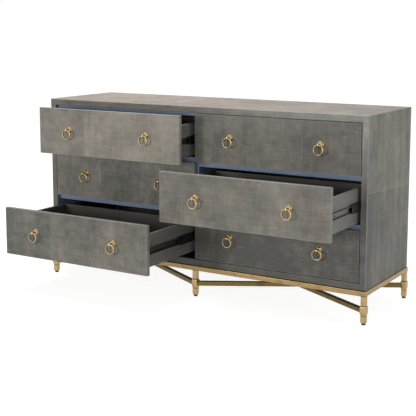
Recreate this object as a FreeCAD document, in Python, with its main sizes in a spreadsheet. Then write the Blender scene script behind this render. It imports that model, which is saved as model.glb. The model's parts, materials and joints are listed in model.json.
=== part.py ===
import FreeCAD, Part
import math
import os
import re
import Sketcher

# Double dresser: two columns of three drawers in a wrapped carcass, on a metal base with crossed stretchers.
# Millimetres. +X runs to the right, +Y to the back and +Z up.
# The origin is the middle of the front centre foot, on the floor.

# Driving dimensions
driving = {
    # carcass
    "carcass_width": 1600,
    "carcass_depth": 466,
    "overall_height": 838,
    "base_height": 139,
    "panel": 28,
    "panel_round": 3,
    "partition": 20,
    "back_thickness": 6,
    "back_inset": 8,
    # drawer fronts and the gaps round them
    "front_thickness": 18,
    "front_chamfer": 1.5,
    "reveal": 3,
    "centre_gap": 4,
    "row_gap": 3,
    # recessed rails between the drawers
    "rail_height": 38,
    "rail_thickness": 20,
    "rail_setback": 2,
    "top_rail_height": 15,
    # drawer boxes
    "side_thickness": 15,
    "box_drop": 45,
    "box_rise": 26,
    "box_rear_gap": 56,
    "bottom_thickness": 6,
    "groove_depth": 6,
    "groove_height": 10,
    # three-member ball-bearing slides
    "slide_width": 12.7,
    "slide_setback": 4,
    "slide_rear_gap": 60,
    "slide_metal": 1.2,
    "slide_play": 0.3,
    "cabinet_member": 45,
    "middle_member": 36,
    "drawer_member": 26,
    "middle_share": 0.35,
    # how far two of the open drawers stand out, and how far the third is short of its full travel
    "top_left_open": 116,
    "middle_right_open": 273,
    "bottom_left_short": 13,
    # ring pulls
    "pull_spacing": 420,
    "pull_rise": 11,
    "rosette_radius": 13,
    "rosette_thickness": 3,
    "dome_radius": 11,
    "dome_rise": 6,
    "neck_radius": 5,
    "eye_distance": 22,
    "eye_radius": 8,
    "eye_width": 12,
    "ring_radius": 19.75,
    "ring_wire": 5.5,
    "ring_clearance": 0.3,
    "ring_sides": 20,
    "wire_sides": 8,
    "turned_sides": 12,
    # metal base
    "base_proud": 3,
    "rail_tube": 22,
    "leg_size": 22,
    "metal_chamfer": 2.5,
    "collar_size": 27,
    "collar_low": 39,
    "collar_height": 38,
    "collar_chamfer": 2,
    "collar_taper": 9,
    "stretcher_size": 20,
    "foot_chamfer": 6,
    "glide_radius": 9,
    "glide_height": 7,
}

rows = ["bottom", "middle", "top"]

# Sizes worked out from the driving dimensions
inner_half = "(carcass_width / 2 - panel)"
inner_low = "(base_height + panel)"
inner_high = "(overall_height - panel)"
face_y = "(base_proud - leg_size / 2)"
front_width = f"({inner_half} - reveal - centre_gap / 2)"
all_gaps = f"(2 * reveal + {len(rows) - 1} * row_gap)"
front_height = f"(({inner_high} - {inner_low} - {all_gaps}) / {len(rows)})"
back_face_y = f"({face_y} + carcass_depth - back_inset - back_thickness)"
rail_y = f"({face_y} + front_thickness + rail_setback)"
column_width = f"({inner_half} - partition / 2)"
box_width = f"({column_width} - 2 * slide_width)"
box_height = f"({front_height} - box_drop - box_rise)"
board_top = "(groove_height + bottom_thickness)"
box_length = f"({back_face_y} - {face_y} - front_thickness - box_rear_gap)"
slide_y = f"({face_y} + front_thickness + slide_setback)"
slide_length = f"({back_face_y} - {slide_y} - slide_rear_gap)"
eye_tip = "(eye_distance + eye_radius)"
ring_drop = "sqrt(ring_radius ^ 2 - (eye_width / 2) ^ 2)"
eye_bore = (
    f"(ring_radius - {ring_drop} + ring_wire / 2 * ring_radius / {ring_drop} + ring_clearance)"
)
leg_top = "(base_height - rail_tube)"
leg_span_x = "(carcass_width / 2 + base_proud - leg_size / 2)"
leg_span_y = "(carcass_depth + 2 * base_proud - leg_size)"
stretcher_z = "(collar_low + collar_height / 2)"
stretcher_length = f"sqrt({leg_span_x} ^ 2 + {leg_span_y} ^ 2)"

doc = FreeCAD.newDocument("DoubleDresser")
sheet = doc.addObject("Spreadsheet::Sheet", "Sizes")
for row, (alias, size) in enumerate(driving.items(), 1):
    sheet.set(f"A{row}", alias)
    sheet.set(f"B{row}", str(size))
    sheet.setAlias(f"B{row}", alias)
doc.recompute()

nodes = {}
close = 1e-6


# Names of sizes in a formula become references to the sheet
def formula(text):
    return re.sub(
        r"[a-z_]+",
        lambda word: "Sizes." + word[0] if word[0] in driving else word[0],
        str(text),
    )


def value(text):
    return float(sheet.evalExpression(formula(text)))


def bind(thing, **properties):
    for name, text in properties.items():
        thing.setExpression(name, formula(text))


def place(thing, x, y, z):
    for axis, text in zip("xyz", (x, y, z)):
        thing.setExpression(f"Placement.Base.{axis}", formula(text))
    return thing


def node(label, thing):
    thing.Label = label
    nodes[label] = thing
    return thing


def group(members):
    compound = doc.addObject("Part::Compound", "Group")
    compound.Links = members
    return compound


# The same piece once more, in another place
def copy(master, x, y, z):
    return place(group([master]), x, y, z)


def box(name, length, depth, height, x, y, z):
    block = doc.addObject("Part::Box", name)
    bind(block, Length=length, Width=depth, Height=height)
    return place(block, x, y, z)


def new_body(name):
    return doc.addObject("PartDesign::Body", name)


def origin_plane(body, role):
    return next(plane for plane in body.Origin.OriginFeatures if plane.Role == role)


# Ties the end of a line to its two coordinates
def pin(sketch, line, x, y):
    for kind, text, axis in (("DistanceX", x, -2), ("DistanceY", y, -1)):
        if text == "0":
            sketch.addConstraint(Sketcher.Constraint("PointOnObject", line, 2, axis))
        else:
            dimension = Sketcher.Constraint(kind, -1, 1, line, 2, value(text))
            number = sketch.addConstraint(dimension)
            sketch.setExpression(f"Constraints[{number}]", formula(text))


# A closed loop of straight lines through the points
def draw_loop(sketch, points):
    spots = [FreeCAD.Vector(value(x), value(y), 0) for x, y in points]
    lines = []
    for index, finish in enumerate(spots):
        lines.append(sketch.addGeometry(Part.LineSegment(spots[index - 1], finish), False))
    for index, (x, y) in enumerate(points):
        following = lines[(index + 1) % len(lines)]
        sketch.addConstraint(Sketcher.Constraint("Coincident", lines[index], 2, following, 1))
        pin(sketch, lines[index], x, y)


def outline(body, role, *loops):
    sketch = body.newObject("Sketcher::SketchObject", "Outline")
    sketch.AttachmentSupport = (origin_plane(body, role), [""])
    sketch.MapMode = "FlatFace"
    for loop in loops:
        draw_loop(sketch, loop)
    return sketch


def rectangle(x0, y0, x1, y1):
    return [(x0, y0), (x1, y0), (x1, y1), (x0, y1)]


# Loops in the XZ plane are padded to the back, those in the other planes along their own normal
def pad(body, role, length, *loops):
    sketch = outline(body, role, *loops)
    feature = body.newObject("PartDesign::Pad", "Pad")
    feature.Profile = sketch
    feature.Reversed = role == "XZ_Plane"
    bind(feature, Length=length)
    return feature


# Dresses the edges of a body's last feature that pass a test
def dress(body, kind, size, wanted):
    doc.recompute()
    base = body.Tip
    names = [f"Edge{number}" for number, edge in enumerate(base.Shape.Edges, 1) if wanted(edge)]
    feature = body.newObject(f"PartDesign::{kind}", kind)
    feature.Base = (base, names)
    bind(feature, **{"Radius" if kind == "Fillet" else "Size": size})
    return feature


# Whether a straight edge runs along an axis
def along(edge, axis):
    direction = edge.tangentAt(edge.FirstParameter)
    return abs(getattr(direction, axis)) > 1 - close


# Carcass: one rounded frame, parted along its mitres into four panels
def carcass_panels():
    half = "carcass_width / 2"
    blank = new_body("CarcassBlank")
    pad(
        blank,
        "XZ_Plane",
        "carcass_depth",
        rectangle(f"-{half}", "base_height", half, "overall_height"),
        rectangle(f"-{inner_half}", inner_low, inner_half, inner_high),
    )
    place(blank, "0", face_y, "0")
    rear = value("carcass_depth")
    reach = value(half)
    low = value("base_height")
    high = value("overall_height")

    def outer(edge):
        middle = edge.BoundBox.Center
        return (
            math.isclose(abs(middle.x), reach)
            or math.isclose(middle.z, low)
            or math.isclose(middle.z, high)
        )

    def rounded(edge):
        level = edge.BoundBox.Center.y
        if along(edge, "y") or math.isclose(level, rear):
            return outer(edge)
        return True

    dress(blank, "Fillet", "panel_round", rounded)
    wedges = {
        "top_panel": [
            (f"-{half}", "overall_height"),
            (half, "overall_height"),
            (inner_half, inner_high),
            (f"-{inner_half}", inner_high),
        ],
        "bottom_panel": [
            (f"-{half}", "base_height"),
            (half, "base_height"),
            (inner_half, inner_low),
            (f"-{inner_half}", inner_low),
        ],
        "left_side_panel": [
            (f"-{half}", "base_height"),
            (f"-{half}", "overall_height"),
            (f"-{inner_half}", inner_high),
            (f"-{inner_half}", inner_low),
        ],
        "right_side_panel": [
            (half, "base_height"),
            (half, "overall_height"),
            (inner_half, inner_high),
            (inner_half, inner_low),
        ],
    }
    for label, corners in wedges.items():
        wedge = new_body("Wedge")
        pad(wedge, "XZ_Plane", "carcass_depth", corners)
        place(wedge, "0", face_y, "0")
        panel = doc.addObject("Part::Common", "Panel")
        panel.Base = blank
        panel.Tool = wedge
        node(label, panel)


def carcass_inside():
    inner_height = f"{inner_high} - {inner_low}"
    partition = box(
        "Partition",
        "partition",
        f"{back_face_y} - {rail_y}",
        inner_height,
        "-partition / 2",
        rail_y,
        inner_low,
    )
    node("centre_partition", partition)
    back = box(
        "Back",
        f"2 * {inner_half}",
        "back_thickness",
        inner_height,
        f"-{inner_half}",
        back_face_y,
        inner_low,
    )
    node("back_panel", back)
    rails = []
    for low_x in (f"-{inner_half}", "partition / 2"):
        for below in range(1, len(rows)):
            middle = f"{inner_low} + reveal + {below} * {front_height} + ({below} - 1 / 2) * row_gap"
            rails.append((low_x, "rail_height", f"{middle} - rail_height / 2"))
        rails.append((low_x, "top_rail_height", f"{inner_high} - top_rail_height"))
    bars = [box("Rail", column_width, "rail_thickness", tall, x, rail_y, z) for x, tall, z in rails]
    node("front_rails", group(bars))


def drawer_front():
    body = new_body("Front")
    pad(body, "XZ_Plane", "front_thickness", rectangle("0", "0", front_width, front_height))
    dress(
        body,
        "Chamfer",
        "front_chamfer",
        lambda edge: edge.BoundBox.YMax < value("front_thickness / 2"),
    )
    return body


# Section of a drawer wall, with the groove that holds the bottom board on its inner side
def grooved(side):
    inner = f"{side} * side_thickness"
    floor = f"{side} * (side_thickness - groove_depth)"
    return [
        ("0", "0"),
        (inner, "0"),
        (inner, "groove_height"),
        (floor, "groove_height"),
        (floor, board_top),
        (inner, board_top),
        (inner, box_height),
        ("0", box_height),
    ]


# Two sides, an inner front and a back that stands on the bottom board
def drawer_box():
    left = new_body("Side")
    pad(left, "XZ_Plane", box_length, grooved("1"))
    right = new_body("Side")
    pad(right, "XZ_Plane", box_length, grooved("-1"))
    place(right, box_width, "0", "0")
    inside_width = f"{box_width} - 2 * side_thickness"
    subfront = new_body("Subfront")
    pad(subfront, "YZ_Plane", inside_width, grooved("1"))
    place(subfront, "side_thickness", "0", "0")
    back = box(
        "BoxBack",
        inside_width,
        "side_thickness",
        f"{box_height} - {board_top}",
        "side_thickness",
        f"{box_length} - side_thickness",
        board_top,
    )
    return group([left, right, subfront, back])


def drawer_bottom():
    setback = "(side_thickness - groove_depth)"
    return box(
        "Bottom",
        f"{box_width} - 2 * {setback}",
        f"{box_length} - {setback}",
        "bottom_thickness",
        setback,
        setback,
        "groove_height",
    )


# Sections of the slide members, from the wall that carries them inwards, about the slide's mid-height
def lipped_channel(back, height, lip):
    high = f"{height} / 2"
    mouth = "(slide_width - slide_metal - slide_play)"
    upper = [
        (back, high),
        (mouth, high),
        (mouth, lip),
        (f"{mouth} - slide_metal", lip),
        (f"{mouth} - slide_metal", f"{high} - slide_metal"),
        (f"{back} + slide_metal", f"{high} - slide_metal"),
    ]
    return upper + [(x, f"-({z})") for x, z in reversed(upper)]


def plain_channel(back, height):
    high = f"{height} / 2"
    upper = [
        ("slide_width", high),
        (back, high),
        (back, f"{high} - slide_metal"),
        ("slide_width - slide_metal", f"{high} - slide_metal"),
    ]
    return upper + [(x, f"-({z})") for x, z in reversed(upper)]


# A left and a right member of one drawer's slides, facing each other across the column
def slide_pair(section):
    body = new_body("Slides")
    facing = [(f"{column_width} - ({across})", up) for across, up in section]
    pad(body, "XZ_Plane", slide_length, section, facing)
    return body


# A regular polygon with the middle of one side on top, drawn from that side round
def regular(sides, radius, centre_y):
    count = round(value(sides))
    turns = [f"(90 + ({step} + 1 / 2) * 360 / {sides})" for step in range(count)]
    return [(f"{radius} * cos({turn})", f"{centre_y} + {radius} * sin({turn})") for turn in turns]


# A wire ring that hangs from the origin, bent from short straight lengths
def pull_ring():
    body = new_body("Ring")
    middle = "(ring_radius * cos(180 / ring_sides) - ring_radius)"
    route = [("0", middle)] + regular("ring_sides", "ring_radius", "-ring_radius")
    spine = outline(body, "XZ_Plane", route)
    section = outline(body, "YZ_Plane", regular("wire_sides", "ring_wire / 2", middle))
    doc.recompute()
    pipe = body.newObject("PartDesign::AdditivePipe", "Wire")
    pipe.Profile = section
    pipe.Spine = (spine, [f"Edge{number}" for number in range(1, len(route) + 1)])
    pipe.Transition = "Right corner"
    return body


# Turned post: rosette, dome and neck, with a ball that is flattened and bored as the ring's eye
def pull_post():
    profile = [
        ("rosette_radius", "0"),
        ("rosette_radius", "rosette_thickness"),
        ("dome_radius", "rosette_thickness + dome_rise / 2"),
        ("neck_radius", "rosette_thickness + dome_rise"),
        ("neck_radius", "eye_distance - eye_radius"),
        ("eye_radius", "eye_distance - eye_radius / 2"),
        ("eye_radius", "eye_distance + eye_radius / 2"),
        ("neck_radius", eye_tip),
    ]
    upright = FreeCAD.Rotation(FreeCAD.Vector(1, 0, 0), 90)
    sections = []
    for radius, reach in profile:
        section = doc.addObject("Part::RegularPolygon", "Section")
        bind(section, Polygon="turned_sides", Circumradius=radius)
        section.Placement = FreeCAD.Placement(FreeCAD.Vector(), upright)
        sections.append(place(section, "0", f"-({reach})", "0"))
    turned = doc.addObject("Part::Loft", "Turned")
    turned.Sections = sections
    turned.Solid = True
    turned.Ruled = True
    turned.Linearize = True
    cheek = "(eye_radius - eye_width / 2)"
    cheeks = [
        box("Cheek", cheek, "2 * eye_radius", "2 * eye_radius", x, f"-{eye_tip}", "-eye_radius")
        for x in ("eye_width / 2", "-eye_radius")
    ]
    bore = doc.addObject("Part::Cylinder", "Bore")
    bind(bore, Radius=eye_bore, Height="eye_width")
    bore.Placement = FreeCAD.Placement(FreeCAD.Vector(), FreeCAD.Rotation(FreeCAD.Vector(0, 1, 0), 90))
    place(bore, "-eye_width / 2", "-eye_distance", "0")
    post = doc.addObject("Part::Cut", "Post")
    post.Base = turned
    post.Tool = group(cheeks + [bore])
    return post


def drawers():
    front = drawer_front()
    walls = drawer_box()
    board = drawer_bottom()
    ring = pull_ring()
    post = pull_post()
    lip = "middle_member / 2 + slide_play"
    cabinet_pair = slide_pair(lipped_channel("0", "cabinet_member", lip))
    lip = "drawer_member / 2 + slide_play"
    middle_pair = slide_pair(lipped_channel("(slide_metal + slide_play)", "middle_member", lip))
    drawer_pair = slide_pair(plain_channel("2 * (slide_metal + slide_play)", "drawer_member"))
    columns = {
        "left": (f"-({front_width} + centre_gap / 2)", f"-{inner_half}"),
        "right": ("centre_gap / 2", "partition / 2"),
    }
    opened = {
        "top_left": "top_left_open",
        "middle_right": "middle_right_open",
        "bottom_left": f"({slide_length} - bottom_left_short)",
    }
    hands = {"left": "-", "right": "+"}
    cabinet_members = []
    for level, row in enumerate(rows):
        for column, (front_x, wall_x) in columns.items():
            tag = f"{row}_{column}"
            opening = opened.get(tag, "0")
            front_y = f"({face_y} - {opening})"
            front_z = f"({inner_low} + reveal + {level} * ({front_height} + row_gap))"
            box_place = (f"{wall_x} + slide_width", f"{front_y} + front_thickness", f"{front_z} + box_rise")
            slide_z = f"{front_z} + box_rise + {box_height} / 2"
            node(f"{tag}_drawer_front", copy(front, front_x, front_y, front_z))
            node(f"{tag}_drawer_box", copy(walls, *box_place))
            node(f"{tag}_drawer_bottom", copy(board, *box_place))
            node(f"{tag}_drawer_slides", copy(drawer_pair, wall_x, f"{slide_y} - {opening}", slide_z))
            node(f"{tag}_middle_slides", copy(middle_pair, wall_x, f"{slide_y} - middle_share * {opening}", slide_z))
            cabinet_members.append(copy(cabinet_pair, wall_x, slide_y, slide_z))
            pull_z = f"{front_z} + {front_height} / 2 + pull_rise"
            posts = []
            for hand, sign in hands.items():
                pull_x = f"{front_x} + {front_width} / 2 {sign} pull_spacing / 2"
                posts.append(copy(post, pull_x, front_y, pull_z))
                node(f"{tag}_{hand}_ring", copy(ring, pull_x, f"{front_y} - eye_distance", pull_z))
            node(f"{tag}_pull_posts", group(posts))
    node("cabinet_slides", group(cabinet_members))


# A straight square bar along X with eased long edges, turned about Z
def bar(size, length, angle):
    body = new_body("Bar")
    half = f"{size} / 2"
    pad(body, "YZ_Plane", length, rectangle(f"-{half}", f"-{half}", half, half))
    dress(body, "Chamfer", "metal_chamfer", lambda edge: along(edge, "x"))
    body.Placement = FreeCAD.Placement(FreeCAD.Vector(), FreeCAD.Rotation(FreeCAD.Vector(0, 0, 1), 90))
    bind(body, **{"Placement.Rotation.Angle": angle})
    return body


def leg():
    body = new_body("Leg")
    half = "leg_size / 2"
    stem = pad(
        body,
        "XY_Plane",
        f"{leg_top} - glide_height",
        rectangle(f"-{half}", f"-{half}", half, half),
    )
    bind(stem.Profile[0], **{"AttachmentOffset.Base.z": "glide_height"})
    foot = value("glide_height")
    dress(body, "Chamfer", "foot_chamfer", lambda edge: edge.BoundBox.ZMax < foot + close)
    dress(body, "Chamfer", "metal_chamfer", lambda edge: along(edge, "z"))
    half = "collar_size / 2"
    collar = pad(
        body,
        "XY_Plane",
        "collar_height",
        rectangle(f"-{half}", f"-{half}", half, half),
    )
    bind(collar.Profile[0], **{"AttachmentOffset.Base.z": "collar_low"})
    reach = value(half)

    low = value("collar_low")

    def on_collar(edge):
        extent = edge.BoundBox
        return max(extent.XMax, -extent.XMin, extent.YMax, -extent.YMin) > reach - close

    # its sides and upper end are eased, and its lower end tapers
    dress(body, "Chamfer", "collar_chamfer", lambda edge: on_collar(edge) and edge.BoundBox.ZMax > low + close)
    taper = dress(
        body,
        "Chamfer",
        "collar_chamfer",
        lambda edge: on_collar(edge) and edge.BoundBox.ZMax < low + close,
    )
    taper.ChamferType = "Two distances"
    bind(taper, Size2="collar_taper")
    return body


def base():
    feet = [(f"{side} * {leg_span_x}", y) for y in ("0", leg_span_y) for side in (-1, 0, 1)]
    post = leg()
    legs = node("legs", group([copy(post, x, y, "0") for x, y in feet]))
    glide = doc.addObject("Part::Cylinder", "Glide")
    bind(glide, Radius="glide_radius", Height="glide_height")
    node("floor_glides", group([copy(glide, x, y, "0") for x, y in feet]))

    rail_z = f"{leg_top} + rail_tube / 2"
    inset = "(leg_size - rail_tube) / 2"
    long_rail = bar("rail_tube", f"2 * {leg_span_x} + leg_size", "0")
    short_rail = bar("rail_tube", f"{leg_span_y} + 2 * {inset} - rail_tube", "90")
    rails = []
    for y in (f"-{inset}", f"{leg_span_y} + {inset}"):
        rails.append(copy(long_rail, f"-{leg_span_x} - leg_size / 2", y, rail_z))
    for side in ("-", ""):
        rails.append(copy(short_rail, f"{side}({leg_span_x} + {inset})", f"rail_tube / 2 - {inset}", rail_z))
    node("base_rails", group(rails))

    angle = f"atan2({leg_span_y}; {leg_span_x})"
    rising = bar("stretcher_size", stretcher_length, angle)
    falling = bar("stretcher_size", stretcher_length, f"-{angle}")
    stretchers = []
    for start_x in (f"-{leg_span_x}", "0"):
        whole = copy(rising, start_x, "0", stretcher_z)
        halved = copy(falling, start_x, leg_span_y, stretcher_z)
        for blank, tools in ((whole, [legs]), (halved, [legs, whole])):
            for tool in tools:
                cut = doc.addObject("Part::Cut", "Stretcher")
                cut.Base = blank
                cut.Tool = tool
                blank = cut
            stretchers.append(blank)
    node("cross_stretchers", group(stretchers))


carcass_panels()
carcass_inside()
drawers()
base()
doc.recompute()

for thing in doc.Objects:
    if "Invalid" in thing.State or "Error" in thing.State:
        raise RuntimeError(f"{thing.Label} failed: {thing.State}")
for label, piece in nodes.items():
    if piece.Shape.isNull() or not piece.Shape.isValid():
        raise RuntimeError(f"{label} has no valid shape")

os.makedirs("parts", exist_ok=True)
for label, piece in nodes.items():
    piece.Shape.exportStep(f"parts/{label}.step")
print(len(nodes), "sub-parts written")
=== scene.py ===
import bmesh
import bpy
import json
import math
from mathutils import Matrix, Vector


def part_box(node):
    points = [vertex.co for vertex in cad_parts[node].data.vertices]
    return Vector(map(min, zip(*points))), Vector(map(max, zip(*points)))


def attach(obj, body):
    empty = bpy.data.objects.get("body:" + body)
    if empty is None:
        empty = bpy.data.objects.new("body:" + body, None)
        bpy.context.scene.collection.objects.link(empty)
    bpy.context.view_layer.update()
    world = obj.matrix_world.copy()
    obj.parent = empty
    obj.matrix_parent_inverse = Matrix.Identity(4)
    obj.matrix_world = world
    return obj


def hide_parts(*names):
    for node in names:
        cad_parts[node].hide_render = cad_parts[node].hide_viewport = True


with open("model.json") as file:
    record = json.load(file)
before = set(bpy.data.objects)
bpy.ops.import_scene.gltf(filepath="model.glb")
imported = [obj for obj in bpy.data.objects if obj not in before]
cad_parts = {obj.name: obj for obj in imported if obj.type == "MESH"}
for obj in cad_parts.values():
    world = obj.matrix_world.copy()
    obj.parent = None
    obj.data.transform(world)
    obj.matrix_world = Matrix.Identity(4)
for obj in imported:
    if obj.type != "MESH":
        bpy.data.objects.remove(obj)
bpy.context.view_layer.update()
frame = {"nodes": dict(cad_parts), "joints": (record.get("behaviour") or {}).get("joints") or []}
scene = bpy.context.scene
nodes = frame["nodes"]
hinges = {joint["child"]: Vector(joint["pos_m"]) for joint in frame["joints"] if joint["type"] == "hinge"}
drawerTags = [f"{row}_{column}" for row in ("bottom", "middle", "top") for column in ("left", "right")]

# Camera

cameraSettings = {
    "place": (2.2564, -3.5621, 1.2141),
    "yaw": 31.617,  # degrees, turned to the left of straight ahead
    "pitch": 8.108,  # degrees, down
    "lens": 85.306,
    "sensor": 36.0,
    "shiftDown": 0.12,  # keeps the uprights nearly parallel
}


def setCamera(look):
    data = bpy.data.cameras.new("camera")
    data.lens = look["lens"]
    data.sensor_width = look["sensor"]
    data.shift_y = -look["shiftDown"]
    camera = bpy.data.objects.new("camera", data)
    camera.location = look["place"]
    camera.rotation_euler = (math.radians(90 - look["pitch"]), 0, math.radians(look["yaw"]))
    scene.collection.objects.link(camera)
    scene.camera = camera


setCamera(cameraSettings)
print("camera set")

# Node helpers


# One node with its inputs set or linked
def step(tree, kind, inputs=None, **settings):
    node = tree.nodes.new(kind)
    for name, setting in settings.items():
        setattr(node, name, setting)
    for name, source in (inputs or {}).items():
        if isinstance(source, bpy.types.NodeSocket):
            tree.links.new(source, node.inputs[name])
        else:
            node.inputs[name].default_value = source
    return node


def sums(tree, operation, first, second=0.0, third=0.0):
    return step(tree, "ShaderNodeMath", {0: first, 1: second, 2: third}, operation=operation).outputs[0]


# Sum of values, each times its weight
def weighted(tree, parts):
    total = 0.0
    for value, weight in parts:
        total = sums(tree, "MULTIPLY_ADD", value, weight, total)
    return total


# A value taken from one span to another and held at the ends
def spread(tree, value, fromLow, fromHigh, toLow=0.0, toHigh=1.0, curve="LINEAR"):
    spans = {"Value": value, "From Min": fromLow, "From Max": fromHigh, "To Min": toLow, "To Max": toHigh}
    return step(tree, "ShaderNodeMapRange", spans, interpolation_type=curve).outputs[0]


# The same with soft ends
def ease(tree, value, *spans):
    return spread(tree, value, *spans, curve="SMOOTHSTEP")


# A share from 0 to 1 turned into a value between two others
def between(tree, share, low, high):
    return spread(tree, share, 0.0, 1.0, low, high)


# Either colour is three numbers or comes from another node
def blendColour(tree, factor, first, second, blend="MIX"):
    first, second = [(*colour, 1) if isinstance(colour, tuple) else colour for colour in (first, second)]
    node = step(tree, "ShaderNodeMix", {0: factor, 6: first, 7: second}, data_type="RGBA", blend_type=blend)
    return node.outputs[2]


def ramp(tree, value, stops):
    node = step(tree, "ShaderNodeValToRGB", {0: value})
    elements = node.color_ramp.elements
    while len(elements) < len(stops):
        elements.new(0.5)  # moved to its place below
    for element, (place, colour) in zip(elements, stops):
        element.position = place
        element.color = (*colour, 1)
    return node.outputs[0]


def newGroup(name, inputs, output):
    group = bpy.data.node_groups.new(name, "ShaderNodeTree")
    for socketName, (kind, default) in inputs.items():
        socket = group.interface.new_socket(socketName, in_out="INPUT", socket_type="NodeSocket" + kind)
        socket.default_value = default
    group.interface.new_socket(output, in_out="OUTPUT", socket_type="NodeSocketFloat")
    return group, group.nodes.new("NodeGroupInput"), group.nodes.new("NodeGroupOutput")


def useGroup(tree, group, **inputs):
    return step(tree, "ShaderNodeGroup", inputs, node_tree=group).outputs[0]


def newMaterial(name):
    material = bpy.data.materials.new(name)
    material.use_nodes = True
    tree = material.node_tree
    return material, tree, tree.nodes["Principled BSDF"]


def objectSpot(tree):
    return step(tree, "ShaderNodeTexCoord").outputs["Object"]


# A value stored on the mesh
def stored(tree, name):
    return step(tree, "ShaderNodeAttribute", attribute_name=name).outputs["Fac"]


def bumpOf(tree, height, distance, strength=1.0, under=None):
    inputs = {"Height": height, "Distance": distance, "Strength": strength}
    if under is not None:
        inputs["Normal"] = under
    return step(tree, "ShaderNodeBump", inputs).outputs[0]


def feed(tree, shader, colour, roughness, normal):
    tree.links.new(colour, shader.inputs["Base Color"])
    tree.links.new(roughness, shader.inputs["Roughness"])
    tree.links.new(normal, shader.inputs["Normal"])


# Shared effects

streakLook = {"noise": {"Detail": 5.0, "Roughness": 0.62}, "span": (0.28, 0.72)}
pebbleLook = {"smooth": 0.35, "span": (0.75, 0.1)}
cloudLook = {"noise": {"Detail": 3.0, "Roughness": 0.55}, "span": (0.3, 0.7)}
scarLook = {"noise": {"Detail": 1.0}, "span": (0.66, 0.76)}
placeSocket = ("Vector", (0.0, 0.0, 0.0))


# The place on the surface times a scale for each axis
def stretched(group, taken):
    sides = {0: taken.outputs["Vector"], 1: taken.outputs["Stretch"]}
    return step(group, "ShaderNodeVectorMath", sides, operation="MULTIPLY").outputs[0]


# Long soft streaks
def makeStreaks(look):
    group, taken, given = newGroup("streaks", {"Vector": placeSocket, "Stretch": placeSocket}, "Value")
    inputs = {"Vector": stretched(group, taken), "Scale": 1.0, **look["noise"]}
    noise = step(group, "ShaderNodeTexNoise", inputs)
    group.links.new(spread(group, noise.outputs[0], *look["span"]), given.inputs["Value"])
    return group


# Round pebbles of a ray skin, close together
def makePebbles(look):
    group, taken, given = newGroup("pebbles", {"Vector": placeSocket, "Size": ("Float", 0.001)}, "Height")
    scale = sums(group, "DIVIDE", 1.0, taken.outputs["Size"])
    inputs = {"Vector": taken.outputs["Vector"], "Scale": scale, "Smoothness": look["smooth"]}
    cells = step(group, "ShaderNodeTexVoronoi", inputs, feature="SMOOTH_F1")
    group.links.new(ease(group, cells.outputs["Distance"], *look["span"]), given.inputs["Height"])
    return group


# Broad soft clouds of tone
def makeClouds(look):
    group, taken, given = newGroup("clouds", {"Vector": placeSocket, "Scale": ("Float", 6.0)}, "Value")
    inputs = {"Vector": taken.outputs["Vector"], "Scale": taken.outputs["Scale"], **look["noise"]}
    noise = step(group, "ShaderNodeTexNoise", inputs)
    group.links.new(spread(group, noise.outputs[0], *look["span"]), given.inputs["Value"])
    return group


# A few short pale scars, only where the streaks peak
def makeScars(look):
    group, taken, given = newGroup("scars", {"Vector": placeSocket, "Stretch": placeSocket}, "Mask")
    inputs = {"Vector": stretched(group, taken), "Scale": 1.0, **look["noise"]}
    noise = step(group, "ShaderNodeTexNoise", inputs)
    group.links.new(ease(group, noise.outputs[0], *look["span"]), given.inputs["Mask"])
    return group


streaks = makeStreaks(streakLook)
pebbles = makePebbles(pebbleLook)
clouds = makeClouds(cloudLook)
scars = makeScars(scarLook)
print("shared effects made")

# Materials

wrapLook = {
    "dark": (0.086, 0.086, 0.076),
    "middle": (0.208, 0.1942, 0.168),
    "light": (0.359, 0.3225, 0.274),
    "stops": (0.1, 0.5, 0.9),  # tones at which those three stand
    "warm": (1.045, 0.995, 0.960),  # patches that lean to pink
    "cool": (0.970, 1.012, 1.0),  # and to green
    "leanScale": 9.5,
    "worn": (0.350, 0.355, 0.355),
    "wornPatches": (0.15, 0.75),
    "level": (9.0, 9.0, 150.0),  # streaks that run level
    "upright": (130.0, 60.0, 11.0),  # streaks that run up and down
    "weave": (0.215, 0.180),  # weight of the level and the upright streaks
    "weaveShares": (0.55, 0.45),  # the same in gloss and bump
    "weaveBump": (0.00012, 0.6),
    "scar": (14.0, 14.0, 190.0),
    "scarWear": 0.45,
    "broadScale": 6.5,
    "broad": 0.36,
    "smallScale": 30.0,
    "small": 0.20,
    "pebble": 0.0016,
    "pebbles": 0.08,
    "pebbleBump": (0.0002, 0.8),
    "lift": 0.18,
    "roughness": (0.42, 0.60),
    "gloss": 0.35,
}


# Tone of the wrap before it is turned to colour, with its weave and grain
def wrapTone(tree, spot, look):
    level = useGroup(tree, streaks, Vector=spot, Stretch=look["level"])
    upright = useGroup(tree, streaks, Vector=spot, Stretch=look["upright"])
    broad = useGroup(tree, clouds, Vector=spot, Scale=look["broadScale"])
    small = useGroup(tree, clouds, Vector=spot, Scale=look["smallScale"])
    grain = useGroup(tree, pebbles, Vector=spot, Size=look["pebble"])
    weave = weighted(tree, zip((level, upright), look["weaveShares"]))
    weights = (*look["weave"], look["broad"], look["small"], look["pebbles"])
    tone = weighted(tree, zip((level, upright, broad, small, grain), weights))
    return sums(tree, "ADD", tone, look["lift"] - sum(look["weave"]) / 2), weave, grain


def wrapColour(tree, spot, tone, look):
    colour = ramp(tree, tone, list(zip(look["stops"], (look["dark"], look["middle"], look["light"]))))
    lean = useGroup(tree, clouds, Vector=spot, Scale=look["leanScale"])
    hue = blendColour(tree, lean, look["cool"], look["warm"])
    return blendColour(tree, 1.0, colour, hue, "MULTIPLY")


def finishWrap(tree, shader, colour, weave, grain, look):
    shader.inputs["Specular IOR Level"].default_value = look["gloss"]
    under = bumpOf(tree, weave, *look["weaveBump"])
    normal = bumpOf(tree, grain, *look["pebbleBump"], under)
    feed(tree, shader, colour, between(tree, weave, *look["roughness"]), normal)


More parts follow.
